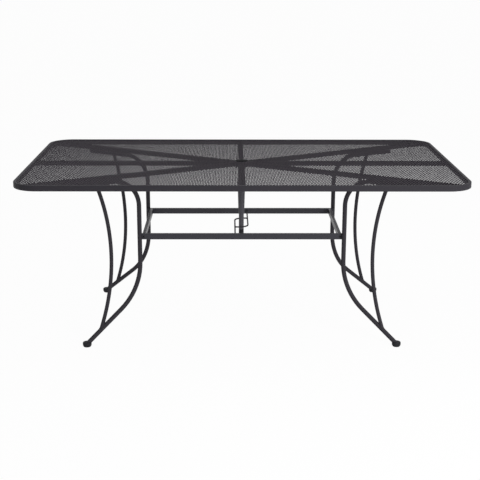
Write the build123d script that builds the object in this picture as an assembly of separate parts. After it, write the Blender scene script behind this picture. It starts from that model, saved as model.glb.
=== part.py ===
from build123d import *
import os
from math import atan2, degrees, hypot

os.makedirs("parts", exist_ok=True)

# Patio dining table in painted steel: a tube rim round an expanded metal top,
# bars and braces under it, four bent legs and a lift-out cover for the pole hole.
# The origin is on the floor under the middle of the table. X runs along the table,
# Y from its front to its rear, and Z up.

# Overall size, with the height measured to the top of the rim
TABLE_LENGTH = 1829.0
TABLE_WIDTH = 1067.0
TABLE_HEIGHT = 729.5

# Clearances
WELD_GAP = 0.2
PLUG_GAP = 0.2
LIFT_GAP = 0.3
HOLE_GAP = 0.25
SEAT_GAP = 0.1
OVERRUN = 5.0

# Inside corner radius of a rectangular tube, as a share of the outside one
INNER_EDGE_share = 0.4

# Rim tube
RIM_WIDE = 13.5
RIM_TALL = 24.0
RIM_WALL = 1.5
RIM_EDGE = 3.0
CORNER_RADIUS = 105.0

# Expanded metal panel, drawn with wide diamonds that stand for the fine ones
MESH_THICK = 2.5
MESH_DROP = 3.5
MESH_BORDER = 7.0
MESH_STRAND = 9.0
MESH_RING = 8.0
MESH_COLUMNS = 22
MESH_ROWS = 5

# Bars and braces under the panel
BAR_WIDE = 24.0
BAR_TALL = 18.0
BAR_WALL = 1.5
BAR_EDGE = 2.5

# Collar round the pole hole
COLLAR_RADIUS = 27.0
COLLAR_BORE_RADIUS = 23.5
COLLAR_TALL = 27.0

# Feet, given by the spacing of their centres
FOOT_SPACING_LONG = 1308.0
FOOT_SPACING_CROSS = 742.0
FOOT_RADIUS = 18.5
FOOT_BASE_RADIUS = 14.5
FOOT_TALL = 20.0
FOOT_SHOULDER = 13.0
FOOT_BULGE = 1.5
FOOT_EDGE = 3.0

# Main leg tube: a flat run under the brace, a bend, an upright, a bend and a slope
LEG_RADIUS = 9.5
LEG_WALL = 1.5
RUN_END = 818.0
UPRIGHT_REACH = 498.0
TOP_BEND = 115.0
KNEE_HEIGHT = 213.0
KNEE_BEND = 250.0
SLOPE_END_HEIGHT = 11.0

# Outer leg tube: one long bow from the run down to the slope
BOW_RADIUS = 8.0
BOW_WALL = 1.2
BOW_TOP_REACH = 689.0
BOW_WAIST_REACH = 630.0
BOW_FOOT_REACH = 690.0
BOW_WAIST_share = 0.55

# Plug in the outer end of each flat run
PLUG_HEAD = 2.5
PLUG_DEEP = 14.0

# Bolts from each run up into its brace
BOLT_RADIUS = 3.0
BOLT_HEAD_RADIUS = 5.8
BOLT_HEAD_TALL = 4.0
INSERT_RADIUS = 4.5
INSERT_BULGE_RADIUS = 6.0
INSERT_BULGE_TALL = 3.0
INSERT_TALL = 12.0
BOLT_PLACE_shares = (0.13, 0.87)

# Stretchers and side bars, rectangular tube on edge
STRETCHER_WIDE = 12.7
STRETCHER_TALL = 25.4
STRETCHER_WALL = 1.2
STRETCHER_EDGE = 1.6
STRETCHER_HEIGHT = 444.0
SIDE_BAR_GAP = 1.0

# Screws through the stretchers into plugs in the side bars
SCREW_RADIUS = 2.5
SCREW_HEAD_RADIUS = 4.6
SCREW_HEAD_TALL = 2.4
SCREW_PLUG_DEEP = 26.0

# Wire guide between the stretchers, two bent rods welded to a loop
GUIDE_RADIUS = 3.2
GUIDE_SPACING = 57.4
GUIDE_LOOP = 160.0
GUIDE_BEND = 38.0
GUIDE_LIFT = 2.0

# Lift-out insert that covers the pole hole
CAP_RADIUS = 26.0
CAP_RISE = 6.0
CAP_LIP = 1.5
CAP_PLUG_DEEP = 16.0
CAP_ROOF = 2.0
SLEEVE_RADIUS = 15.7
SLEEVE_WALL = 1.5
SLEEVE_TAPER_DROP = 137.0
SLEEVE_NECK_DROP = 215.0
SLEEVE_NECK_RADIUS = 13.6
SLEEVE_END_DROP = 238.0
POST_RADIUS = 11.0
POST_WALL = 1.2
POST_LAP = 40.0
POST_END_DROP = 309.0
TIP_TALL = 30.0
TIP_PLUG_DEEP = 14.0
TIP_EDGE = 3.0

# Heights that follow from the stack of pieces
rim_z = TABLE_HEIGHT - RIM_TALL / 2
top_z = TABLE_HEIGHT - MESH_DROP
mesh_z = top_z - MESH_THICK
bar_z = mesh_z - BAR_TALL / 2
bar_bottom_z = mesh_z - BAR_TALL
run_z = bar_bottom_z - WELD_GAP - LEG_RADIUS
guide_z = STRETCHER_HEIGHT + GUIDE_LIFT

# Places in plan that follow from the outline
rim_x = (TABLE_LENGTH - RIM_WIDE) / 2
rim_y = (TABLE_WIDTH - RIM_WIDE) / 2
corner_x = TABLE_LENGTH / 2 - CORNER_RADIUS
corner_y = TABLE_WIDTH / 2 - CORNER_RADIUS
panel_length = TABLE_LENGTH - 2 * (RIM_WIDE + WELD_GAP)
panel_width = TABLE_WIDTH - 2 * (RIM_WIDE + WELD_GAP)
panel_corner = CORNER_RADIUS - RIM_WIDE - WELD_GAP
collar_clear = COLLAR_RADIUS + WELD_GAP

# Each leg stands in an upright plane through the middle of the table
foot_reach = hypot(FOOT_SPACING_LONG, FOOT_SPACING_CROSS) / 2
leg_angle = degrees(atan2(FOOT_SPACING_CROSS, FOOT_SPACING_LONG))
leg_x = UPRIGHT_REACH * FOOT_SPACING_LONG / 2 / foot_reach
leg_y = UPRIGHT_REACH * FOOT_SPACING_CROSS / 2 / foot_reach
side_bar_x = leg_x - LEG_RADIUS - SIDE_BAR_GAP - STRETCHER_WIDE / 2
stretcher_reach = leg_x + LEG_RADIUS / 2
stretcher_y = leg_y - LEG_RADIUS - WELD_GAP - STRETCHER_WIDE / 2
stretcher_face_y = stretcher_y - STRETCHER_WIDE / 2

# The four legs, with the turn of each about Z
LEGS = {
    "rear_right": leg_angle,
    "rear_left": 180 - leg_angle,
    "front_left": 180 + leg_angle,
    "front_right": 360 - leg_angle,
}


def save(node, shape):
    """Write one named piece, or one group of alike pieces."""
    shape.label = node
    export_step(shape, f"parts/{node}.step")


def tube_section(wide, tall, wall, edge):
    """The hollow section of a rectangular tube."""
    outside = RectangleRounded(wide, tall, edge)
    inside = RectangleRounded(wide - 2 * wall, tall - 2 * wall, edge * INNER_EDGE_share)
    return outside - inside


def straight(section, length):
    """A straight piece of a section, from the origin along +X."""
    return extrude(Plane.YZ * section, amount=length)


def rod(radius, start, end):
    """A solid round rod from one point to another."""
    line = Vector(*end) - Vector(*start)
    return extrude(Plane(origin=start, z_dir=line) * Circle(radius), amount=line.length)


def swept(path, radius):
    """A solid round rod along a bent path."""
    return sweep(Plane(origin=path @ 0, z_dir=path % 0) * Circle(radius), path=path)


def turned(*lines):
    """A solid of revolution about Z from an outline of radius and height."""
    return revolve(Plane.XZ * make_face(lines), Axis.Z)


def turned_points(*points):
    """A solid of revolution about Z whose outline is all straight lines."""
    return turned(Polyline(*points, close=True))


rim_section = tube_section(RIM_WIDE, RIM_TALL, RIM_WALL, RIM_EDGE)
bar_section = tube_section(BAR_WIDE, BAR_TALL, BAR_WALL, BAR_EDGE)
stretcher_section = tube_section(STRETCHER_WIDE, STRETCHER_TALL, STRETCHER_WALL, STRETCHER_EDGE)
collar_cutter = Pos(0, 0, bar_z) * Cylinder(collar_clear, BAR_TALL + 2 * OVERRUN)


# Rim: four straight tubes and four bent corners, butted and welded
def rim_pieces():
    for name, side in (("front", -1), ("rear", 1)):
        tube = straight(rim_section, 2 * corner_x)
        save(f"rim_{name}", Pos(-corner_x, side * rim_y, rim_z) * tube)
    for name, side in (("left", -1), ("right", 1)):
        tube = Rot(0, 0, 90) * straight(rim_section, 2 * corner_y)
        save(f"rim_{name}", Pos(side * rim_x, -corner_y, rim_z) * tube)
    bend_section = Plane.XZ * (Pos(CORNER_RADIUS - RIM_WIDE / 2, 0) * rim_section)
    bend = revolve(bend_section, Axis.Z, 90)
    corners = (("rear_right", 1, 1), ("rear_left", -1, 1), ("front_left", -1, -1), ("front_right", 1, -1))
    for turn, (name, side, end) in enumerate(corners):
        save(f"rim_corner_{name}", Pos(side * corner_x, end * corner_y, rim_z) * Rot(0, 0, 90 * turn) * bend)


# Panel: one flat net, welded inside the rim on top of the bars
def mesh_top():
    field_length = panel_length - 2 * MESH_BORDER
    field_width = panel_width - 2 * MESH_BORDER
    long_pitch = field_length / MESH_COLUMNS
    cross_pitch = field_width / MESH_ROWS
    half_long = long_pitch / 2
    half_cross = cross_pitch / 2
    open_share = 1 - MESH_STRAND / 2 * hypot(half_long, half_cross) / (half_long * half_cross)
    tip_x = half_long * open_share
    tip_y = half_cross * open_share
    diamond = make_face(Polyline((tip_x, 0), (0, tip_y), (-tip_x, 0), (0, -tip_y), close=True))
    places = list(GridLocations(long_pitch, cross_pitch, MESH_COLUMNS, MESH_ROWS))
    places += list(GridLocations(long_pitch, cross_pitch, MESH_COLUMNS + 1, MESH_ROWS + 1))
    field = RectangleRounded(field_length, field_width, panel_corner - MESH_BORDER)
    field -= Circle(collar_clear + MESH_RING)
    gaps = [field & (place * diamond) for place in places]
    panel = RectangleRounded(panel_length, panel_width, panel_corner) - Circle(collar_clear)
    holes = [face.outer_wire() for gap in gaps for face in gap.faces()]
    holes += panel.face().inner_wires()
    net = Face(panel.face().outer_wire(), holes)
    print("mesh gaps", len(holes) - 1)
    return Pos(0, 0, mesh_z) * extrude(net, amount=MESH_THICK)


# Bars: two along the table and two across it, from the collar to the rim
def hub_bar(turn, length):
    return Rot(0, 0, turn) * (Pos(0, 0, bar_z) * straight(bar_section, length)) - collar_cutter


def bar_pieces():
    long_reach = TABLE_LENGTH / 2 - RIM_WIDE
    cross_reach = TABLE_WIDTH / 2 - RIM_WIDE
    save("long_bar_right", hub_bar(0, long_reach))
    save("cross_bar_rear", hub_bar(90, cross_reach))
    save("long_bar_left", hub_bar(180, long_reach))
    save("cross_bar_front", hub_bar(270, cross_reach))


# Places of the two bolts of a leg, along its run
run_start = UPRIGHT_REACH + TOP_BEND
bolt_reaches = [run_start + share * (RUN_END - run_start) for share in BOLT_PLACE_shares]


def at_bolts(shape):
    """Copies of a shape at the bolt places of a leg that points along +X."""
    return [Pos(reach, 0, 0) * shape for reach in bolt_reaches]


# Diagonal braces: mitred against the bars at the collar, coped to the rim corners
def brace_pieces():
    inside = extrude(RectangleRounded(panel_length, panel_width, panel_corner), amount=TABLE_HEIGHT)
    cross_height = BAR_TALL + 2 * OVERRUN
    bars = Pos(0, 0, bar_z) * Box(TABLE_LENGTH, BAR_WIDE, cross_height)
    bars += Pos(0, 0, bar_z) * Box(BAR_WIDE, TABLE_WIDTH, cross_height)
    reach = hypot(TABLE_LENGTH, TABLE_WIDTH) / 2
    brace = Pos(0, 0, bar_z) * straight(bar_section, reach)
    hole = Pos(0, 0, bar_bottom_z) * Cylinder(INSERT_RADIUS + HOLE_GAP, 2 * (BAR_WALL + HOLE_GAP))
    brace -= at_bolts(hole)
    for name, turn in LEGS.items():
        save(f"brace_{name}", (Rot(0, 0, turn) * brace & inside) - bars - collar_cutter)


# Collar: the ring that the bars meet at, open for a pole
def hub_collar():
    outside = Cylinder(COLLAR_RADIUS, COLLAR_TALL)
    bore = Cylinder(COLLAR_BORE_RADIUS, COLLAR_TALL)
    return Pos(0, 0, top_z - COLLAR_TALL / 2) * (outside - bore)


# Legs: each is drawn in the plane of X and Z, and then turned to its corner
slope_top = Vector(UPRIGHT_REACH, 0, KNEE_HEIGHT)
slope_end = Vector(foot_reach, 0, SLOPE_END_HEIGHT)
slope_way = (slope_end - slope_top).normalized()
leg_path = FilletPolyline(
    (RUN_END, 0, run_z),
    (UPRIGHT_REACH, 0, run_z),
    slope_top,
    slope_end,
    radius=(TOP_BEND, KNEE_BEND),
)


def leg_main():
    tube = swept(leg_path, LEG_RADIUS) - swept(leg_path, LEG_RADIUS - LEG_WALL)
    hole = Pos(0, 0, run_z) * Cylinder(BOLT_RADIUS + HOLE_GAP, 2 * (LEG_RADIUS + OVERRUN))
    return tube - at_bolts(hole)


def leg_bow():
    bow_foot_z = SLOPE_END_HEIGHT - (foot_reach - BOW_FOOT_REACH) * slope_way.Z / slope_way.X
    path = ThreePointArc(
        (BOW_TOP_REACH, 0, run_z),
        (BOW_WAIST_REACH, 0, BOW_WAIST_share * run_z),
        (BOW_FOOT_REACH, 0, bow_foot_z),
    )
    tube = swept(path, BOW_RADIUS) - swept(path, BOW_RADIUS - BOW_WALL)
    return tube - swept(leg_path, LEG_RADIUS + WELD_GAP)


def run_plug():
    bore = LEG_RADIUS - LEG_WALL - PLUG_GAP
    stem = rod(bore, (RUN_END - PLUG_DEEP, 0, run_z), (RUN_END, 0, run_z))
    head = rod(LEG_RADIUS, (RUN_END, 0, run_z), (RUN_END + PLUG_HEAD, 0, run_z))
    return stem + fillet(head.edges().sort_by(Axis.X)[-1], PLUG_HEAD / 2)


# Foot: a cup that the sloping end of the leg is pushed into
def foot():
    side = SagittaArc((FOOT_BASE_RADIUS, 0), (FOOT_RADIUS, FOOT_SHOULDER), -FOOT_BULGE)
    cup = turned(
        Line((0, 0), (FOOT_BASE_RADIUS, 0)),
        side,
        Line((FOOT_RADIUS, FOOT_SHOULDER), (FOOT_RADIUS, FOOT_TALL)),
        Line((FOOT_RADIUS, FOOT_TALL), (0, FOOT_TALL)),
        Line((0, FOOT_TALL), (0, 0)),
    )
    cup = fillet(cup.edges().sort_by(Axis.Z)[-1], FOOT_EDGE)
    socket_end = slope_end + slope_way * PLUG_GAP
    socket_start = slope_end - slope_way * (2 * FOOT_RADIUS + FOOT_TALL)
    return Pos(foot_reach, 0, 0) * cup - rod(LEG_RADIUS + PLUG_GAP, socket_start, socket_end)


# Leg bolts, and the threaded inserts that they hold in the braces
def leg_bolt():
    seat_z = run_z - LEG_RADIUS - SEAT_GAP
    head = extrude(RegularPolygon(BOLT_HEAD_RADIUS, 6), amount=-BOLT_HEAD_TALL)
    shank_tall = bar_bottom_z + INSERT_TALL - seat_z
    return Pos(0, 0, seat_z) * (head + extrude(Circle(BOLT_RADIUS), amount=shank_tall))


def leg_insert():
    bore = BOLT_RADIUS + SEAT_GAP
    bulge_top = BAR_WALL + INSERT_BULGE_TALL
    ring = turned_points(
        (bore, 0),
        (INSERT_RADIUS, 0),
        (INSERT_RADIUS, BAR_WALL),
        (INSERT_BULGE_RADIUS, BAR_WALL),
        (INSERT_RADIUS, bulge_top),
        (INSERT_RADIUS, INSERT_TALL),
        (bore, INSERT_TALL),
    )
    return Pos(0, 0, bar_bottom_z) * ring


def leg_pieces():
    bolts = []
    inserts = []
    plugs = []
    main = leg_main()
    bow = leg_bow()
    cup = foot()
    plug = run_plug()
    for name, turn in LEGS.items():
        place = Rot(0, 0, turn)
        save(f"leg_main_{name}", place * main)
        save(f"leg_bow_{name}", place * bow)
        save(f"foot_{name}", place * cup)
        plugs.append(place * plug)
        bolts += [place * bolt for bolt in at_bolts(leg_bolt())]
        inserts += [place * insert for insert in at_bolts(leg_insert())]
    save("leg_bolts", Compound(children=bolts))
    save("leg_inserts", Compound(children=inserts))
    save("run_plugs", Compound(children=plugs))


# Screws and their plugs, drawn for a joint whose outer face is at the origin facing -X
def stretcher_screw():
    dome = TangentArc((0, SCREW_HEAD_TALL), (SCREW_HEAD_RADIUS, 0), tangent=(1, 0))
    head = turned(
        Line((0, 0), (SCREW_HEAD_RADIUS, 0)),
        dome,
        Line((0, SCREW_HEAD_TALL), (0, 0)),
    )
    long_shank = STRETCHER_WIDE + SCREW_PLUG_DEEP
    return Rot(0, -90, 0) * head + rod(SCREW_RADIUS, (0, 0, 0), (long_shank, 0, 0))


def screw_plug():
    inset = 2 * (STRETCHER_WALL + PLUG_GAP)
    block = RectangleRounded(
        STRETCHER_WIDE - inset,
        STRETCHER_TALL - inset,
        STRETCHER_EDGE * INNER_EDGE_share,
    )
    plug = straight(block - Circle(SCREW_RADIUS + SEAT_GAP), SCREW_PLUG_DEEP)
    return Pos(STRETCHER_WIDE, 0, 0) * plug


# Stretchers: each is welded to the inner sides of a pair of legs, with side bars between
def stretcher_pieces():
    hole = rod(SCREW_RADIUS + HOLE_GAP, (-OVERRUN, 0, 0), (STRETCHER_WIDE + OVERRUN, 0, 0))
    joints = []
    for side in (-1, 1):
        for end in (-1, 1):
            outer_y = end * (stretcher_y + STRETCHER_WIDE / 2)
            joints.append(Pos(side * side_bar_x, outer_y, STRETCHER_HEIGHT) * Rot(0, 0, -90 * end))
    for name, end in (("front", -1), ("rear", 1)):
        tube = straight(stretcher_section, 2 * stretcher_reach)
        tube = Pos(-stretcher_reach, end * stretcher_y, STRETCHER_HEIGHT) * tube
        tube -= [joint * hole for joint in joints]
        save(f"stretcher_{name}", tube)
    for name, side in (("left", -1), ("right", 1)):
        tube = Rot(0, 0, 90) * straight(stretcher_section, 2 * stretcher_face_y)
        save(f"side_bar_{name}", Pos(side * side_bar_x, -stretcher_face_y, STRETCHER_HEIGHT) * tube)
    save("stretcher_screws", Compound(children=[joint * stretcher_screw() for joint in joints]))
    save("stretcher_plugs", Compound(children=[joint * screw_plug() for joint in joints]))


# Wire guide: each rod leaves one stretcher and turns across to meet the other rod
def guide_pieces():
    half = GUIDE_SPACING / 2
    tip_x = half - GUIDE_RADIUS - WELD_GAP
    path = FilletPolyline(
        (-half, -stretcher_face_y, guide_z),
        (-half, GUIDE_LOOP / 2, guide_z),
        (tip_x, GUIDE_LOOP / 2, guide_z),
        radius=GUIDE_BEND,
    )
    bent = swept(path, GUIDE_RADIUS)
    save("pole_guide_left", bent)
    save("pole_guide_right", Rot(0, 0, 180) * bent)


# Insert: a cap on the collar, with a sleeve, a thinner post and a tip hanging from it
def insert_pieces():
    plug_radius = COLLAR_BORE_RADIUS - LIFT_GAP
    socket_radius = SLEEVE_RADIUS + PLUG_GAP
    sleeve_bore = SLEEVE_RADIUS - SLEEVE_WALL
    lap_bore = POST_RADIUS + PLUG_GAP
    neck_end = lap_bore + SLEEVE_WALL
    tip_plug = POST_RADIUS - POST_WALL - PLUG_GAP
    cap = turned(
        Line((0, -CAP_ROOF), (socket_radius, -CAP_ROOF)),
        Line((socket_radius, -CAP_ROOF), (socket_radius, -CAP_PLUG_DEEP)),
        Line((socket_radius, -CAP_PLUG_DEEP), (plug_radius, -CAP_PLUG_DEEP)),
        Line((plug_radius, -CAP_PLUG_DEEP), (plug_radius, 0)),
        Line((plug_radius, 0), (CAP_RADIUS, 0)),
        Line((CAP_RADIUS, 0), (CAP_RADIUS, CAP_LIP)),
        TangentArc((0, CAP_RISE), (CAP_RADIUS, CAP_LIP), tangent=(1, 0)),
        Line((0, CAP_RISE), (0, -CAP_ROOF)),
    )
    sleeve = turned_points(
        (SLEEVE_RADIUS, -CAP_ROOF),
        (SLEEVE_RADIUS, -SLEEVE_TAPER_DROP),
        (SLEEVE_NECK_RADIUS, -SLEEVE_NECK_DROP),
        (neck_end, -SLEEVE_END_DROP),
        (lap_bore, -SLEEVE_END_DROP),
        (lap_bore, POST_LAP - SLEEVE_END_DROP),
        (sleeve_bore, -SLEEVE_TAPER_DROP),
        (sleeve_bore, -CAP_ROOF),
    )
    post_top = POST_LAP - SLEEVE_END_DROP
    post = turned_points(
        (POST_RADIUS, post_top),
        (POST_RADIUS, -POST_END_DROP),
        (POST_RADIUS - POST_WALL, -POST_END_DROP),
        (POST_RADIUS - POST_WALL, post_top),
    )
    tip = turned_points(
        (0, TIP_PLUG_DEEP - POST_END_DROP),
        (tip_plug, TIP_PLUG_DEEP - POST_END_DROP),
        (tip_plug, -POST_END_DROP),
        (POST_RADIUS, -POST_END_DROP),
        (POST_RADIUS, TIP_EDGE - POST_END_DROP - TIP_TALL),
        (POST_RADIUS - TIP_EDGE, -POST_END_DROP - TIP_TALL),
        (0, -POST_END_DROP - TIP_TALL),
    )
    parts = (("hole_cap", cap), ("sleeve_upper", sleeve), ("sleeve_lower", post), ("sleeve_tip", tip))
    for name, shape in parts:
        save(name, Pos(0, 0, top_z) * shape)


rim_pieces()
save("mesh_top", mesh_top())
bar_pieces()
brace_pieces()
save("hub_collar", hub_collar())
leg_pieces()
stretcher_pieces()
guide_pieces()
insert_pieces()
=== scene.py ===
from math import asin, atan2, ceil, cos, hypot, pi, radians, sin, sqrt, tan

import bmesh
import bpy
from mathutils import Matrix, Vector


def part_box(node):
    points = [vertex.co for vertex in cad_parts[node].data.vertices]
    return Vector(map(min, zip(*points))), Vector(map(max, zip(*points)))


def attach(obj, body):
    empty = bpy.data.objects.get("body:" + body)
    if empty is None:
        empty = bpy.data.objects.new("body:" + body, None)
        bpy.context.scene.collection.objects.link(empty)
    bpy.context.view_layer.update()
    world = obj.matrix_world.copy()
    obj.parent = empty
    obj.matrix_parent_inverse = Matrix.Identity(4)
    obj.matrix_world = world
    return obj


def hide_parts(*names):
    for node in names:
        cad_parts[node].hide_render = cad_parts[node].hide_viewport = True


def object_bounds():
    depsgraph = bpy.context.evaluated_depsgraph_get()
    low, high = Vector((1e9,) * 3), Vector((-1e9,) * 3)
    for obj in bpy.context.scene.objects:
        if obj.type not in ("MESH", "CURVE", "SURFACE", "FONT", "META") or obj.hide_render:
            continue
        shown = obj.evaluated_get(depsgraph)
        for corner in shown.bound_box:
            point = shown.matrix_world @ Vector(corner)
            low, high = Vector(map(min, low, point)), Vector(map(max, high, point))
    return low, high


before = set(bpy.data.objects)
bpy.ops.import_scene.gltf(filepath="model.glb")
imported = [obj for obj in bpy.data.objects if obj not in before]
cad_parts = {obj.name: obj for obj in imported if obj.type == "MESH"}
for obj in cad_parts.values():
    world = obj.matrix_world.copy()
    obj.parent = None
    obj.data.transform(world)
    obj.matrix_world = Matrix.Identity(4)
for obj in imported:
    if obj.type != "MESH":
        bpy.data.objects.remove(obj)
cad_low, cad_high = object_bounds()

MM = 0.001

# Sizes and places that the frame gives
rim_low, rim_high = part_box("rim_front")
corner_low, corner_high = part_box("rim_corner_rear_right")
panel_low, panel_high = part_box("mesh_top")
collar_low, collar_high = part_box("hub_collar")
bar_low, bar_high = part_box("long_bar_right")
stretcher_low, stretcher_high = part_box("stretcher_front")
foot_low, foot_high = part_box("foot_rear_right")
guide_low, guide_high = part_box("pole_guide_left")
cap_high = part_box("hole_cap")[1]
sleeve_low, sleeve_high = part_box("sleeve_upper")
post_low, post_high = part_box("sleeve_lower")
tip_low, tip_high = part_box("sleeve_tip")

X, Y, Z = (Vector(row) for row in Matrix.Identity(3))

# The four corners, as turns of a leg that is drawn along +X
foot_x = (foot_low.x + foot_high.x) / 2
foot_y = (foot_low.y + foot_high.y) / 2
FOOT_REACH = hypot(foot_x, foot_y)
LEG_TURN = atan2(foot_y, foot_x)
CORNERS = {
    "rear_right": LEG_TURN,
    "rear_left": pi - LEG_TURN,
    "front_left": pi + LEG_TURN,
    "front_right": -LEG_TURN,
}

# Drawn tubes: sides of a round one, and the longest step of a bend
ROUND_SIDES = 28
BEND_STEP = radians(5)
BEND_CHORD = 22 * MM

# Rounded edges: steps, and the share of an edge that its arc bulges
EDGE_STEPS = 4
EDGE_BULGE_SHARE = 0.2

# All meshes: the angle up to which faces look smooth, and the distance that counts as none
SMOOTH_ANGLE = radians(35)
MERGE_DISTANCE = 0.01 * MM

# Rim tube
RIM_WIDE = rim_high.y - rim_low.y
RIM_TALL = rim_high.z - rim_low.z
RIM_EDGE = 3.0 * MM
CORNER_RADIUS = corner_high.x - corner_low.x

# Gap left at a weld, and the radius of the panel's corners and of its hole behind it
WELD_GAP = 0.2 * MM
PANEL_CORNER = CORNER_RADIUS - RIM_WIDE - WELD_GAP
HUB_CLEAR = collar_high.x + WELD_GAP

# Leg, in the upright plane through the middle of the table: reaches, heights and bends
LEG_RADIUS = 9.5 * MM
RUN_END = 0.818
UPRIGHT_REACH = 0.498
TOP_BEND = 0.115
KNEE_HEIGHT = 0.213
KNEE_BEND = 0.250
SLOPE_END_HEIGHT = 0.011

# Bow of a leg, in the same plane, with its waist at a share of the run's height
BOW_RADIUS = 8.0 * MM
BOW_TOP_REACH = 0.689
BOW_WAIST_REACH = 0.630
BOW_FOOT_REACH = 0.690
BOW_WAIST_SHARE = 0.55
BOW_STRAIGHT = 38 * MM

# Plug in the end of a leg's run
PLUG_HEAD = 2.5 * MM
PLUG_DEEP = 14.0 * MM
PLUG_STEM_RADIUS = 7.8 * MM

# Foot, from its base up, and the socket that the leg's slope goes into
FOOT_RADIUS = 18.5 * MM
FOOT_BASE_RADIUS = 14.5 * MM
FOOT_SHOULDER = 13.0 * MM
FOOT_BULGE = 1.5 * MM
FOOT_EDGE = 3.0 * MM
FOOT_STEPS = 8
SOCKET_GAP = 0.2 * MM
SOCKET_LONG = 74.0 * MM

# Wire guide
GUIDE_RADIUS = 3.2 * MM
GUIDE_BEND = 38.0 * MM
GUIDE_SIDES = 16

# Insert in the pole hole, with its depths below the top of the panel
TURNED_SIDES = 72
COLLAR_BORE_RADIUS = 23.5 * MM
COLLAR_EDGE = 0.5 * MM
CAP_LIP = 1.5 * MM
CAP_EDGE = 0.5 * MM
CAP_ROOF = 2.0 * MM
CAP_PLUG_RADIUS = 23.2 * MM
CAP_PLUG_DEEP = 16.0 * MM
CAP_STEPS = 12
SLEEVE_WALL = 1.5 * MM
SLEEVE_TAPER_DROP = 137.0 * MM
SLEEVE_NECK_DROP = 215.0 * MM
SLEEVE_NECK_RADIUS = 13.6 * MM
SLEEVE_END_RADIUS = 12.7 * MM
LAP_GAP = 0.2 * MM
POST_WALL = 1.2 * MM
TIP_PLUG_RADIUS = 9.6 * MM
TIP_EDGE = 3.0 * MM

# Expanded metal: pitch across and along its diamonds, strand, sheet, bond and tilt,
# the trim at the panel's corners, and the cosine past which a face looks across a bond
DIAMOND_WIDE = 12.7 * MM
DIAMOND_LONG = 25.4 * MM
STRAND_WIDE = 2.8 * MM
SHEET_THICK = 2.25 * MM
BOND_LONG = 6.0 * MM
STRAND_TILT = radians(-9)
CORNER_TRIM = 0.5 * MM
ACROSS_COSINE = 0.9

# Weld beads, whose points lie a pitch apart and are thick and thin by turns
BEAD_RADIUS = 1.5 * MM
GUIDE_BEAD_RADIUS = 1.0 * MM
BEAD_RIPPLE = 0.15
BEAD_PITCH = 2.5 * MM

# Camera, with its view direction below and beside the Y axis, and its roll
CAMERA_PLACE = (-0.05858, -4.48379, 1.58809)
CAMERA_PITCH = 0.26636
CAMERA_YAW = -0.01184
CAMERA_ROLL = 0.00316
CAMERA_LENS = 77.66
SENSOR_WIDE = 36.0

# Light, where a strength of 1 shows as white
WORLD_LIGHT = 0.55
BACKDROP_WHITE = 1.0
FLOOR_WHITE_SHARE = 0.96
FLOOR_SIZE = 300.0
FLOOR_TONE = (0.8, 0.8, 0.8, 1)
WHITE = (1, 1, 1, 1)

# Lamps: place, aim, size and power
KEY_LIGHTS = {
    "overhead": ((0.0, 0.3, 3.2), (0.0, 0.0, 0.7), 2.6, 10.0),
    "front": ((2.2, -3.6, 1.7), (0.0, 0.0, 0.4), 1.6, 130.0),
}

# Finishes: a dark and a light tone of each
FRAME_TONES = ((0.021, 0.0193, 0.0237), (0.029, 0.0267, 0.0325))
MESH_TONES = ((0.0222, 0.0180, 0.0243), (0.0302, 0.0247, 0.0332))
STRETCHER_TONES = ((0.0200, 0.0194, 0.0255), (0.0276, 0.0268, 0.0350))
SLEEVE_TONES = ((0.045, 0.043, 0.052), (0.058, 0.055, 0.066))
FOOT_TONES = ((0.012, 0.012, 0.014), (0.024, 0.024, 0.027))
CAP_TONES = ((0.006, 0.006, 0.007), (0.012, 0.012, 0.014))
STEEL_TONES = ((0.005, 0.005, 0.005), (0.012, 0.012, 0.013))

# Scales of the noise in them, and how far it moves the tone and the roughness
DRIFT_SCALE = 9.0
SPECK_SCALE = 1400.0
SCUFF_SCALE = 60.0
WEAR_SCALE = 420.0
DRIFT_SHARE = 0.7
DRIFT_GLOSS = 0.12
SPECK_GLOSS = 0.08
SCUFF_GLOSS = 0.25
WEAR_GLOSS = 0.2

# Sockets of a Mix node for its two colours and what comes out
FIRST_COLOUR, SECOND_COLOUR, MIXED_COLOUR = 6, 7, 2


class Value:
    """A shader socket whose sums and products are Math nodes."""

    def __init__(self, finish, socket):
        self.finish = finish
        self.socket = socket

    def maths(self, operation, first, second):
        return self.finish.node("Math", {"operation": operation}, {0: first, 1: second})

    def most(self, other):
        return self.maths("MAXIMUM", self, other)

    def __add__(self, other):
        return self.maths("ADD", self, other)

    def __radd__(self, other):
        return self.maths("ADD", other, self)

    def __sub__(self, other):
        return self.maths("SUBTRACT", self, other)

    def __rsub__(self, other):
        return self.maths("SUBTRACT", other, self)

    def __mul__(self, other):
        return self.maths("MULTIPLY", self, other)

    def __rmul__(self, other):
        return self.maths("MULTIPLY", other, self)


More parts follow.
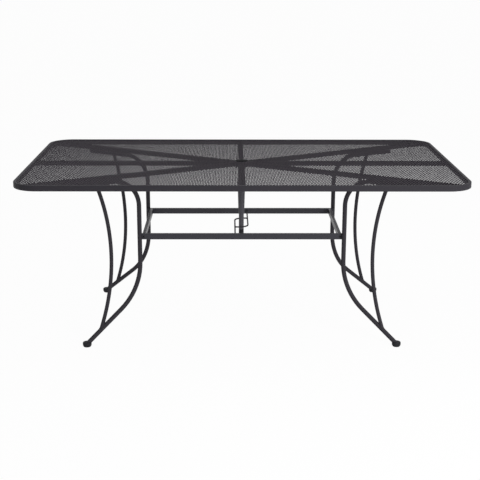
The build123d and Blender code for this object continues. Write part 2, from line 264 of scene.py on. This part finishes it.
class Finish:
    """A material under construction, or the world."""

    def __init__(self, owner):
        owner.use_nodes = True
        self.owner = owner
        self.tree = owner.node_tree
        self.tree.nodes.clear()

    def node(self, kind, settings=None, sockets=None, output=0):
        """Adds a node: its settings first, then the values or links of its sockets."""
        node = self.tree.nodes.new("ShaderNode" + kind)
        for name, value in (settings or {}).items():
            setattr(node, name, value)
        for name, value in (sockets or {}).items():
            if isinstance(value, Value):
                self.tree.links.new(value.socket, node.inputs[name])
            else:
                node.inputs[name].default_value = value
        return Value(self, node.outputs[output]) if node.outputs else None

    def out(self, shader, kind="OutputMaterial"):
        self.node(kind, sockets={"Surface": shader})
        return self.owner

    def noise(self, scale, detail):
        place = self.node("TexCoord", output="Object")
        return self.node("TexNoise", sockets={"Vector": place, "Scale": scale, "Detail": detail})

    def bump(self, strength, distance, height):
        sockets = {"Strength": strength, "Distance": distance, "Height": height}
        return self.node("Bump", sockets=sockets)

    def colour_mix(self, factor, tones):
        """A colour between two tones, by a factor."""
        first, second = ((*tone, 1) for tone in tones)
        sockets = {"Factor": factor, FIRST_COLOUR: first, SECOND_COLOUR: second}
        return self.node("Mix", {"data_type": "RGBA"}, sockets, MIXED_COLOUR)

    def shader_mix(self, factor, first, second):
        """A shader between two, by a factor."""
        return self.node("MixShader", sockets={0: factor, 1: first, 2: second})

    def seen(self):
        """1 for rays from the camera or by gloss or glass, which see the white backdrop."""
        camera = self.node("LightPath", output="Is Camera Ray")
        glossy = self.node("LightPath", output="Is Glossy Ray")
        clear = self.node("LightPath", output="Is Transmission Ray")
        return camera.most(glossy).most(clear)


def painted(name, tones, roughness, grain, specular):
    """Powder coat: fine orange peel, slow drift of tone and of gloss."""
    coat = Finish(bpy.data.materials.new(name))
    drift = coat.noise(DRIFT_SCALE, detail=3.0)
    speck = coat.noise(SPECK_SCALE, detail=1.0)
    peel = coat.noise(grain, detail=2.0)
    tone = drift * DRIFT_SHARE + speck * (1 - DRIFT_SHARE)
    sockets = {
        "Base Color": coat.colour_mix(tone, tones),
        "Roughness": roughness + (drift - 0.5) * DRIFT_GLOSS + (speck - 0.5) * SPECK_GLOSS,
        "Normal": coat.bump(strength=0.12, distance=0.4 * MM, height=peel),
        "Specular IOR Level": specular,
    }
    return coat.out(coat.node("BsdfPrincipled", sockets=sockets))


def moulded(name, tones, roughness, grain):
    """Moulded plastic: spark-eroded texture and faint scuffs."""
    plastic = Finish(bpy.data.materials.new(name))
    texture = plastic.noise(grain, detail=3.0)
    scuff = plastic.noise(SCUFF_SCALE, detail=4.0)
    sockets = {
        "Base Color": plastic.colour_mix(scuff, tones),
        "Roughness": roughness + (scuff - 0.5) * SCUFF_GLOSS,
        "Normal": plastic.bump(strength=0.2, distance=0.3 * MM, height=texture),
        "Specular IOR Level": 0.08,
    }
    return plastic.out(plastic.node("BsdfPrincipled", sockets=sockets))


def blackened(name, tones, roughness):
    """Blackened zinc on bolts and screws, with slight wear."""
    steel = Finish(bpy.data.materials.new(name))
    wear = steel.noise(WEAR_SCALE, detail=4.0)
    sockets = {
        "Base Color": steel.colour_mix(wear, tones),
        "Roughness": roughness + wear * WEAR_GLOSS,
        "Metallic": 0.5,
        "Normal": steel.bump(strength=0.1, distance=0.2 * MM, height=wear),
    }
    return steel.out(steel.node("BsdfPrincipled", sockets=sockets))


frame_paint = painted("frame_paint", FRAME_TONES, roughness=0.62, grain=900.0, specular=0.14)
mesh_paint = painted("mesh_paint", MESH_TONES, roughness=0.62, grain=1200.0, specular=0.14)
stretcher_paint = painted(
    "stretcher_paint", STRETCHER_TONES, roughness=0.4, grain=900.0, specular=0.28
)
sleeve_paint = painted("sleeve_paint", SLEEVE_TONES, roughness=0.48, grain=900.0, specular=0.35)
foot_plastic = moulded("foot_plastic", FOOT_TONES, roughness=0.55, grain=1500.0)
cap_plastic = moulded("cap_plastic", CAP_TONES, roughness=0.75, grain=1800.0)
fastener_steel = blackened("fastener_steel", STEEL_TONES, roughness=0.45)


def finished(name, bm, body, material, replaces=(), smooth=SMOOTH_ANGLE, weighted=False):
    """Makes a piece of a bmesh, and puts it on its body in its material."""
    mesh = bpy.data.meshes.new(name)
    bm.to_mesh(mesh)
    bm.free()
    if smooth:
        mesh.shade_smooth()
        mesh.set_sharp_from_angle(angle=smooth)
    mesh.materials.append(material)
    piece = bpy.data.objects.new(name, mesh)
    bpy.context.scene.collection.objects.link(piece)
    if weighted:
        normals = piece.modifiers.new("flat_sides", "WEIGHTED_NORMAL")
        normals.keep_sharp = True
    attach(piece, body)
    if replaces:
        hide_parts(*replaces)


def verts_of(geom):
    return [part for part in geom if isinstance(part, bmesh.types.BMVert)]


def open_edges_of(geom):
    return [part for part in geom if isinstance(part, bmesh.types.BMEdge) and part.is_boundary]


def verts_on(edges):
    """The vertices of edges, each once and in their order."""
    return list(dict.fromkeys(vert for edge in edges for vert in edge.verts))


def closed_up(bm):
    """Closes open ends and points the faces outwards."""
    bmesh.ops.holes_fill(bm, edges=[edge for edge in bm.edges if edge.is_boundary], sides=0)
    bmesh.ops.recalc_face_normals(bm, faces=bm.faces)


def axes(place, x_way, y_way):
    """A matrix whose X and Y lie along two ways, at a place."""
    x_way = x_way.normalized()
    z_way = x_way.cross(y_way).normalized()
    y_way = z_way.cross(x_way)
    turn = Matrix((x_way, y_way, z_way)).transposed().to_4x4()
    return Matrix.Translation(place) @ turn


def round_ring(bm, radius, spot, sides=ROUND_SIDES):
    """An open ring of edges in the XY plane of a spot."""
    got = bmesh.ops.create_circle(bm, cap_ends=False, radius=radius, segments=sides, matrix=spot)
    return list(dict.fromkeys(edge for vert in got["verts"] for edge in vert.link_edges))


def square_ring(bm, wide, tall, spot):
    """An open ring of a rectangle in the XY plane of a spot: its corners and its sides."""
    corners = [
        bm.verts.new(spot @ Vector((x * wide / 2, y * tall / 2, 0)))
        for x, y in ((-1, -1), (1, -1), (1, 1), (-1, 1))
    ]
    return corners, [bm.edges.new((corners[n - 1], corners[n])) for n in range(4)]


def drawn(bm, edges, place, way, moves):
    """Draws a ring along moves: a run is its length, a bend its side, radius and turn."""
    for move in moves:
        if isinstance(move, float):
            got = bmesh.ops.extrude_edge_only(bm, edges=edges)["geom"]
            bmesh.ops.translate(bm, verts=verts_of(got), vec=way * move)
            place = place + way * move
        else:
            side, radius, turn = move
            centre = place + side * radius
            axis = way.cross(side)
            steps = max(ceil(turn / BEND_STEP), ceil(turn * radius / BEND_CHORD))
            got = bmesh.ops.spin(
                bm,
                geom=verts_on(edges) + edges,
                cent=centre,
                axis=axis,
                angle=turn,
                steps=steps,
                use_duplicate=False,
            )["geom_last"]
            turned = Matrix.Rotation(turn, 3, axis)
            place = centre + turned @ (place - centre)
            way = turned @ way
        edges = open_edges_of(got)
    return edges, place, way


def coped(verts, way, centre, axis, radius):
    """Slides vertices along a way to where they meet a round tube."""
    flat_way = way - axis * way.dot(axis)
    for vert in verts:
        off = vert.co - centre
        off = off - axis * off.dot(axis)
        half = flat_way.dot(off) / flat_way.length_squared
        rest = half * half - (off.length_squared - radius * radius) / flat_way.length_squared
        vert.co += way * (-half - sqrt(max(rest, 0)))


def round_form(outline, place=Matrix.Identity(4)):
    """A closed form turned from an outline of radius and height, set at a place."""
    bm = bmesh.new()
    points = [bm.verts.new((radius, 0, height)) for radius, height in outline]
    loop = outline[0][0] > 0
    pairs = zip(points, points[1:] + points[:1]) if loop else zip(points, points[1:])
    lines = [bm.edges.new(pair) for pair in pairs]
    bmesh.ops.spin(
        bm,
        geom=points + lines,
        cent=(0, 0, 0),
        axis=Z,
        angle=2 * pi,
        steps=TURNED_SIDES,
        use_merge=True,
        use_duplicate=False,
    )
    bmesh.ops.remove_doubles(bm, verts=bm.verts, dist=MERGE_DISTANCE)
    bmesh.ops.recalc_face_normals(bm, faces=bm.faces)
    bmesh.ops.transform(bm, matrix=place, verts=bm.verts)
    return bm


def arc_points(start, end, bulge, steps):
    """Points along a shallow arc between two places, bulging to its right."""
    start, end = Vector(start), Vector(end)
    right = Vector((end.y - start.y, start.x - end.x)).normalized()
    shares = [step / steps for step in range(steps + 1)]
    return [tuple(start.lerp(end, t) + right * bulge * 4 * t * (1 - t)) for t in shares]


def less(bm, cutter):
    """A closed form less another."""
    holders = []
    for form in (bm, cutter):
        mesh = bpy.data.meshes.new("form")
        form.to_mesh(mesh)
        form.free()
        holder = bpy.data.objects.new("form", mesh)
        bpy.context.scene.collection.objects.link(holder)
        holders.append(holder)
    cut = holders[0].modifiers.new("cut", "BOOLEAN")
    cut.object = holders[1]
    shown = holders[0].evaluated_get(bpy.context.evaluated_depsgraph_get())
    left = bpy.data.meshes.new_from_object(shown)
    rest = bmesh.new()
    rest.from_mesh(left)
    for mesh in (left, holders[0].data, holders[1].data):
        bpy.data.meshes.remove(mesh)
    return rest


def turned_to(bm, turn):
    """A form turned about Z, from the plane that it is drawn in."""
    bmesh.ops.rotate(bm, cent=(0, 0, 0), matrix=Matrix.Rotation(turn, 3, "Z"), verts=bm.verts)
    return bm


# All weld beads, which are one piece
beads = bmesh.new()


def bead(points, closed=True, radius=BEAD_RADIUS):
    """Lays a rippled weld bead along a line of points."""
    spans = list(zip(points, points[1:] + points[:1] if closed else points[1:]))
    places = []
    for start, end in spans:
        count = max(1, round((end - start).length / BEAD_PITCH))
        places += [start.lerp(end, step / count) for step in range(count)]
    if not closed:
        places.append(points[-1])
    curve = bpy.data.curves.new("bead", "CURVE")
    curve.dimensions = "3D"
    curve.bevel_depth = radius
    curve.bevel_resolution = 2
    curve.use_fill_caps = not closed
    spline = curve.splines.new("POLY")
    spline.points.add(len(places) - 1)
    for number, (point, co) in enumerate(zip(spline.points, places)):
        point.co = (*co, 1)
        point.radius = 1 + BEAD_RIPPLE * (-1) ** number
    spline.use_cyclic_u = closed
    holder = bpy.data.objects.new("bead", curve)
    laid = bpy.data.meshes.new_from_object(holder)
    beads.from_mesh(laid)
    bpy.data.meshes.remove(laid)
    bpy.data.curves.remove(curve)


def around(verts, place, way):
    """The places of a ring's vertices, in order round a way."""
    side = way.orthogonal().normalized()
    other = way.cross(side)

    def angle(co):
        return atan2((co - place).dot(side), (co - place).dot(other))

    return sorted((vert.co.copy() for vert in verts), key=angle)


# Rim: four straight tubes, each given with its length, and the four bends between them
def rim():
    z = (rim_low.z + rim_high.z) / 2
    x = cad_high.x - RIM_WIDE / 2
    y = cad_high.y - RIM_WIDE / 2
    straight_x = cad_high.x - CORNER_RADIUS
    straight_y = cad_high.y - CORNER_RADIUS
    tubes = {
        "rim_rear": ((straight_x, y, z), -X, straight_x * 2),
        "rim_front": ((-straight_x, -y, z), X, straight_x * 2),
        "rim_left": ((-x, straight_y, z), -Y, straight_y * 2),
        "rim_right": ((x, -straight_y, z), Y, straight_y * 2),
        "rim_corner_rear_right": ((x, straight_y, z), Y, None),
        "rim_corner_rear_left": ((-straight_x, y, z), -X, None),
        "rim_corner_front_left": ((-x, -straight_y, z), -Y, None),
        "rim_corner_front_right": ((straight_x, -y, z), X, None),
    }
    for node, (start, way, length) in tubes.items():
        place = Vector(start)
        side = Z.cross(way)
        bm = bmesh.new()
        corners, sides = square_ring(bm, RIM_WIDE, RIM_TALL, axes(place, side, Z))
        bmesh.ops.bevel(
            bm,
            geom=corners + sides,
            offset=RIM_EDGE,
            offset_type="OFFSET",
            segments=EDGE_STEPS,
            profile=0.5,
            affect="VERTICES",
            material=-1,
        )
        move = length or (side, CORNER_RADIUS - RIM_WIDE / 2, pi / 2)
        drawn(bm, list(bm.edges), place, way, [move])
        closed_up(bm)
        finished(node + "_tube", bm, "table", frame_paint, [node], weighted=True)


# Expanded metal: one bond with half of each of its four strands, repeated
def bond_cell():
    bm = bmesh.new()
    across = Vector((cos(STRAND_TILT), 0, sin(STRAND_TILT)))
    up = Vector((-sin(STRAND_TILT), 0, cos(STRAND_TILT)))
    along = Y * BOND_LONG / 2
    for side in (-1, 1):
        middle = across * side * STRAND_WIDE / 2
        strand_start = Vector((side * DIAMOND_WIDE / 4, -DIAMOND_LONG / 4, 0))
        strand_end = Vector((side * DIAMOND_WIDE / 4, DIAMOND_LONG / 4, 0))
        spots = (strand_start, middle - along, middle + along, strand_end)
        rings = [
            square_ring(bm, STRAND_WIDE, SHEET_THICK, axes(spot, across, up))[1] for spot in spots
        ]
        for first, second in zip(rings, rings[1:]):
            bmesh.ops.bridge_loops(bm, edges=first + second)
    bmesh.ops.remove_doubles(bm, verts=bm.verts, dist=MERGE_DISTANCE)
    shared = [face for face in bm.faces if abs(face.calc_center_median().x) < MERGE_DISTANCE]
    inner = [face for face in shared if abs(face.normal.dot(across)) > ACROSS_COSINE]
    bmesh.ops.delete(bm, geom=inner, context="FACES")
    bmesh.ops.recalc_face_normals(bm, faces=bm.faces)
    cell = bpy.data.meshes.new("bond_cell")
    bm.to_mesh(cell)
    bm.free()
    return cell


def panel_cuts(x, y):
    """The planes that trim a bond at a place, each as a point and a way out."""
    cuts = []
    reach = hypot(DIAMOND_WIDE, DIAMOND_LONG) / 2
    arc_x, arc_y = panel_high.x - PANEL_CORNER, panel_high.y - PANEL_CORNER
    if abs(x) > arc_x and abs(y) > arc_y:
        centre = Vector((arc_x if x > 0 else -arc_x, arc_y if y > 0 else -arc_y, 0))
        out = (Vector((x, y, 0)) - centre).normalized()
        cuts.append((centre + out * (PANEL_CORNER - CORNER_TRIM), out))
    if abs(x) > panel_high.x - reach:
        out = X if x > 0 else -X
        cuts.append((out * panel_high.x, out))
    if abs(y) > panel_high.y - reach:
        out = Y if y > 0 else -Y
        cuts.append((out * panel_high.y, out))
    if hypot(x, y) < HUB_CLEAR + reach:
        out = -Vector((x, y, 0)).normalized() if x or y else -X
        cuts.append((-out * HUB_CLEAR, out))
    return cuts


def expanded_metal():
    cell = bond_cell()
    names = [(end, side) for end in ("rear", "front") for side in ("right", "left")]
    quarters = {name: bmesh.new() for name in names}
    columns = ceil(panel_high.x / (DIAMOND_WIDE / 2))
    rows = ceil(panel_high.y / DIAMOND_LONG) + 1
    for column in range(-columns, columns + 1):
        for row in range(-rows, rows + 1):
            x = column * DIAMOND_WIDE / 2
            y = (row + column % 2 / 2) * DIAMOND_LONG
            cuts = panel_cuts(x, y)
            bond = cell.copy()
            bond.transform(Matrix.Translation((x, y, 0)))
            if cuts:
                bit = bmesh.new()
                bit.from_mesh(bond)
                for place, out in cuts:
                    bmesh.ops.bisect_plane(
                        bit,
                        geom=bit.verts[:] + bit.edges[:] + bit.faces[:],
                        plane_co=place,
                        plane_no=out,
                        clear_outer=True,
                    )
                bit.to_mesh(bond)
                bit.free()
            name = ("rear" if y >= 0 else "front", "right" if x >= 0 else "left")
            quarters[name].from_mesh(bond)
            bpy.data.meshes.remove(bond)
    bpy.data.meshes.remove(cell)
    for (end, side), bm in quarters.items():
        bmesh.ops.remove_doubles(bm, verts=bm.verts, dist=MERGE_DISTANCE)
        loose = [vert for vert in bm.verts if not vert.link_faces]
        bmesh.ops.delete(bm, geom=loose, context="VERTS")
        closed_up(bm)
        lift = panel_low.z - min(vert.co.z for vert in bm.verts)
        bmesh.ops.translate(bm, verts=bm.verts, vec=Z * lift)
        name = f"mesh_{end}_{side}"
        finished(name, bm, "table", mesh_paint, ["mesh_top"], smooth=0)


# Legs: drawn in the plane of X and Z, and turned to their corners
run_z = bar_low.z - WELD_GAP - LEG_RADIUS
knee = Vector((UPRIGHT_REACH, 0, KNEE_HEIGHT))
slope_end = Vector((FOOT_REACH, 0, SLOPE_END_HEIGHT))
slope_way = (slope_end - knee).normalized()
knee_turn = slope_way.angle(-Z)
knee_tangent = KNEE_BEND * tan(knee_turn / 2)


def leg_main():
    """The main tube: run, bend, upright, knee and slope."""
    bm = bmesh.new()
    start = Vector((RUN_END, 0, run_z))
    moves = [
        RUN_END - UPRIGHT_REACH - TOP_BEND,
        (-Z, TOP_BEND, pi / 2),
        run_z - TOP_BEND - KNEE_HEIGHT - knee_tangent,
        (X, KNEE_BEND, knee_turn),
        (slope_end - knee).length - knee_tangent,
    ]
    drawn(bm, round_ring(bm, LEG_RADIUS, axes(start, Y, Z)), start, -X, moves)
    closed_up(bm)
    return bm


def leg_bow(turn):
    """The bow: one arc through its top, waist and foot, with both ends coped and welded."""
    foot_z = SLOPE_END_HEIGHT - (FOOT_REACH - BOW_FOOT_REACH) * slope_way.z / slope_way.x
    middle_z = (run_z + foot_z) / 2
    half = (run_z - foot_z) / 2
    waist = BOW_WAIST_SHARE * run_z - middle_z
    depth = BOW_TOP_REACH - BOW_WAIST_REACH
    across = (BOW_TOP_REACH**2 + half**2 - BOW_WAIST_REACH**2 - waist**2) / (2 * depth)
    radius = hypot(across - BOW_TOP_REACH, half)
    swing = asin(half / radius) - BOW_STRAIGHT / radius
    inward = Vector((cos(swing), 0, -sin(swing)))
    start = Vector((across, 0, middle_z)) - inward * radius
    way = Vector((-sin(swing), 0, -cos(swing)))
    bm = bmesh.new()
    ring = round_ring(bm, BOW_RADIUS, axes(start, inward, Y))
    upper = drawn(bm, ring, start, -way, [BOW_STRAIGHT])
    lower = drawn(bm, ring, start, way, [(inward, radius, 2 * swing), BOW_STRAIGHT])
    spin = Matrix.Rotation(turn, 3, "Z")
    for end, centre, axis in ((upper, Z * run_z, X), (lower, slope_end, slope_way)):
        edges, place, end_way = end
        verts = verts_on(edges)
        coped(verts, end_way, centre, axis, LEG_RADIUS + WELD_GAP)
        bead([spin @ co for co in around(verts, place, end_way)])
    closed_up(bm)
    return turned_to(bm, turn)


def foot():
    """A plastic cup with a sloping socket."""
    outline = [
        (0, 0),
        *arc_points((FOOT_BASE_RADIUS, 0), (FOOT_RADIUS, FOOT_SHOULDER), FOOT_BULGE, FOOT_STEPS),
        *arc_points(
            (FOOT_RADIUS, foot_high.z - FOOT_EDGE),
            (FOOT_RADIUS - FOOT_EDGE, foot_high.z),
            FOOT_EDGE * EDGE_BULGE_SHARE,
            EDGE_STEPS,
        ),
        (0, foot_high.z),
    ]
    cup = round_form(outline, Matrix.Translation(X * FOOT_REACH))
    socket = bmesh.new()
    start = slope_end + slope_way * SOCKET_GAP
    ring = round_ring(socket, LEG_RADIUS + SOCKET_GAP, axes(start, Y, slope_way.cross(Y)))
    drawn(socket, ring, start, -slope_way, [SOCKET_LONG])
    closed_up(socket)
    return less(cup, socket)


def run_plug():
    """The plug in the outer end of a run."""
    edge = PLUG_HEAD / 2
    bulge = edge * EDGE_BULGE_SHARE
    outline = [
        (0, -PLUG_DEEP),
        (PLUG_STEM_RADIUS, -PLUG_DEEP),
        (PLUG_STEM_RADIUS, 0),
        (LEG_RADIUS, 0),
        *arc_points((LEG_RADIUS, edge), (LEG_RADIUS - edge, PLUG_HEAD), bulge, EDGE_STEPS),
        (0, PLUG_HEAD),
    ]
    return round_form(outline, axes(Vector((RUN_END, 0, run_z)), Y, Z))


def legs():
    plugs = bmesh.new()
    for corner, turn in CORNERS.items():
        leg = turned_to(leg_main(), turn)
        bow = leg_bow(turn)
        cup = turned_to(foot(), turn)
        plug = turned_to(run_plug(), turn)
        finished(f"leg_{corner}", leg, "table", frame_paint, [f"leg_main_{corner}"])
        finished(f"bow_{corner}", bow, "table", frame_paint, [f"leg_bow_{corner}"])
        finished(f"cup_{corner}", cup, "table", foot_plastic, [f"foot_{corner}"])
        mesh = bpy.data.meshes.new("plug")
        plug.to_mesh(mesh)
        plug.free()
        plugs.from_mesh(mesh)
        bpy.data.meshes.remove(mesh)
    finished("run_end_plugs", plugs, "table", foot_plastic, ["run_plugs"])


# Wire guide and the insert in the pole hole
def guides():
    start = Vector((guide_low.x + GUIDE_RADIUS, guide_low.y, (guide_low.z + guide_high.z) / 2))
    moves = [
        guide_high.y - GUIDE_RADIUS - GUIDE_BEND - start.y,
        (X, GUIDE_BEND, pi / 2),
        guide_high.x - start.x - GUIDE_BEND,
    ]
    for side, turn in (("left", 0), ("right", pi)):
        bm = bmesh.new()
        ring = round_ring(bm, GUIDE_RADIUS, axes(start, X, Z), GUIDE_SIDES)
        drawn(bm, ring, start, Y, moves)
        closed_up(bm)
        turned_to(bm, turn)
        node = f"pole_guide_{side}"
        finished(f"guide_rod_{side}", bm, "table", frame_paint, [node])


def insert():
    top = panel_high.z
    collar = collar_high.x
    outline = [
        (collar, collar_low.z + COLLAR_EDGE),
        (collar, top - COLLAR_EDGE),
        (collar - COLLAR_EDGE, top),
        (COLLAR_BORE_RADIUS + COLLAR_EDGE, top),
        (COLLAR_BORE_RADIUS, top - COLLAR_EDGE),
        (COLLAR_BORE_RADIUS, collar_low.z + COLLAR_EDGE),
        (COLLAR_BORE_RADIUS + COLLAR_EDGE, collar_low.z),
        (collar - COLLAR_EDGE, collar_low.z),
    ]
    collar_ring = round_form(outline)
    finished("collar_ring", collar_ring, "table", frame_paint, ["hub_collar"])
    socket = sleeve_high.x + LAP_GAP
    rise = cap_high.z - top - CAP_LIP
    dome = (cap_high.x**2 + rise**2) / (2 * rise)
    reaches = [cap_high.x * (1 - step / CAP_STEPS) for step in range(1, CAP_STEPS)]
    outline = [
        (0, top - CAP_ROOF),
        (socket, top - CAP_ROOF),
        (socket, top - CAP_PLUG_DEEP),
        (CAP_PLUG_RADIUS, top - CAP_PLUG_DEEP),
        (CAP_PLUG_RADIUS, top),
        (cap_high.x - CAP_EDGE, top),
        (cap_high.x, top + CAP_EDGE),
        (cap_high.x, top + CAP_LIP),
        *[(reach, cap_high.z - dome + sqrt(dome**2 - reach**2)) for reach in reaches],
        (0, cap_high.z),
    ]
    finished("cap", round_form(outline), "insert", cap_plastic, ["hole_cap"])
    sleeve = sleeve_high.x
    lap = post_high.x + LAP_GAP
    outline = [
        (sleeve, top - CAP_ROOF),
        (sleeve, top - SLEEVE_TAPER_DROP),
        (SLEEVE_NECK_RADIUS, top - SLEEVE_NECK_DROP),
        (SLEEVE_END_RADIUS, sleeve_low.z),
        (lap, sleeve_low.z),
        (lap, post_high.z),
        (sleeve - SLEEVE_WALL, top - SLEEVE_TAPER_DROP),
        (sleeve - SLEEVE_WALL, top - CAP_ROOF),
    ]
    upper = round_form(outline)
    finished("sleeve", upper, "insert", sleeve_paint, ["sleeve_upper"])
    post = post_high.x
    outline = [
        (post, post_low.z),
        (post, post_high.z),
        (post - POST_WALL, post_high.z),
        (post - POST_WALL, post_low.z),
    ]
    lower = round_form(outline)
    finished("post", lower, "insert", sleeve_paint, ["sleeve_lower"])
    outline = [
        (0, tip_low.z),
        *arc_points(
            (post - TIP_EDGE, tip_low.z),
            (post, tip_low.z + TIP_EDGE),
            TIP_EDGE * EDGE_BULGE_SHARE,
            EDGE_STEPS,
        ),
        (post, post_low.z),
        (TIP_PLUG_RADIUS, post_low.z),
        (TIP_PLUG_RADIUS, tip_high.z),
        (0, tip_high.z),
    ]
    finished("tip", round_form(outline), "insert", foot_plastic, ["sleeve_tip"])


# Weld beads at the ends of the straight pieces
def end_beads():
    half_wide = (bar_high.y - bar_low.y) / 2
    bead_top = panel_low.z - BEAD_RADIUS
    corners = [
        (-half_wide, bead_top),
        (-half_wide, bar_low.z),
        (half_wide, bar_low.z),
        (half_wide, bead_top),
    ]
    hub_reach = sqrt(HUB_CLEAR**2 - half_wide**2)
    for quarter, rim_reach in enumerate((bar_high.x, panel_high.y + WELD_GAP) * 2):
        spin = Matrix.Rotation(quarter * pi / 2, 3, "Z")
        for reach in (rim_reach, hub_reach):
            bead([spin @ Vector((reach, y, z)) for y, z in corners], closed=False)
    leg_place = Matrix.Rotation(LEG_TURN, 3, "Z") @ Vector((UPRIGHT_REACH, 0, 0))
    face_y = -stretcher_low.y + BEAD_RADIUS / 2
    lap = LEG_RADIUS / 2
    for side in (-1, 1):
        for end in (-1, 1):
            for x in (leg_place.x - lap, leg_place.x + lap):
                ends = (stretcher_low.z + BEAD_RADIUS, stretcher_high.z - BEAD_RADIUS)
                bead([Vector((side * x, end * face_y, z)) for z in ends], closed=False)
    ring = [2 * pi * step / GUIDE_SIDES for step in range(GUIDE_SIDES)]
    circle = [(GUIDE_RADIUS * cos(angle), GUIDE_RADIUS * sin(angle)) for angle in ring]
    rod_z = (guide_low.z + guide_high.z) / 2
    rod_foot = Vector((guide_low.x + GUIDE_RADIUS, guide_low.y, rod_z))
    rod_tip = Vector((guide_high.x, guide_high.y - GUIDE_RADIUS, rod_z))
    for turn in (0, pi):
        spin = Matrix.Rotation(turn, 3, "Z")
        for spot, side in ((rod_foot, X), (rod_tip, Y)):
            points = [spin @ (spot + side * a + Z * b) for a, b in circle]
            bead(points, radius=GUIDE_BEAD_RADIUS)


rim()
expanded_metal()
legs()
guides()
insert()
end_beads()
finished("weld_beads", beads, "table", frame_paint)

# Finishes of the pieces that stay as the frame has them
CAD_FINISHES = {
    fastener_steel: ("leg_bolts", "leg_inserts", "stretcher_screws"),
    foot_plastic: ("stretcher_plugs",),
    frame_paint: (
        "long_bar_left",
        "long_bar_right",
        "cross_bar_front",
        "cross_bar_rear",
        *[f"brace_{corner}" for corner in CORNERS],
    ),
    stretcher_paint: ("stretcher_front", "stretcher_rear", "side_bar_left", "side_bar_right"),
}
for material, nodes in CAD_FINISHES.items():
    for node in nodes:
        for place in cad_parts[node].material_slots:
            place.material = material


# Studio: a white room for what sees it, and a plain level of light on the object
def studio():
    world = Finish(bpy.data.worlds.new("studio"))
    bpy.context.scene.world = world.owner
    plain = world.node("Background", sockets={"Color": WHITE, "Strength": WORLD_LIGHT})
    white = world.node("Background", sockets={"Color": WHITE, "Strength": BACKDROP_WHITE})
    world.out(world.shader_mix(world.seen(), plain, white), "OutputWorld")

    paper = Finish(bpy.data.materials.new("floor_paper"))
    plain = paper.node("BsdfDiffuse", sockets={"Color": FLOOR_TONE})
    white = paper.node("Emission", sockets={"Color": WHITE, "Strength": BACKDROP_WHITE})
    paper.out(paper.shader_mix(paper.seen() * FLOOR_WHITE_SHARE, plain, white))
    bm = bmesh.new()
    bmesh.ops.create_grid(bm, x_segments=1, y_segments=1, size=FLOOR_SIZE / 2)
    mesh = bpy.data.meshes.new("floor")
    bm.to_mesh(mesh)
    bm.free()
    mesh.materials.append(paper.owner)
    floor = bpy.data.objects.new("floor", mesh)
    bpy.context.scene.collection.objects.link(floor)

    for name, (place, aim, size, power) in KEY_LIGHTS.items():
        lamp = bpy.data.lights.new(name, "AREA")
        lamp.shape = "SQUARE"
        lamp.size = size
        lamp.energy = power
        holder = bpy.data.objects.new(name, lamp)
        bpy.context.scene.collection.objects.link(holder)
        holder.location = place
        holder.rotation_euler = (Vector(aim) - Vector(place)).to_track_quat("-Z", "Y").to_euler()


def camera():
    lens = bpy.data.cameras.new("camera")
    lens.lens = CAMERA_LENS
    lens.sensor_width = SENSOR_WIDE
    holder = bpy.data.objects.new("camera", lens)
    bpy.context.scene.collection.objects.link(holder)
    holder.matrix_world = (
        Matrix.Translation(CAMERA_PLACE)
        @ Matrix.Rotation(CAMERA_YAW, 4, "Z")
        @ Matrix.Rotation(pi / 2 - CAMERA_PITCH, 4, "X")
        @ Matrix.Rotation(CAMERA_ROLL, 4, "Z")
    )
    bpy.context.scene.camera = holder


studio()
camera()
bpy.context.scene.view_settings.view_transform = "Standard"
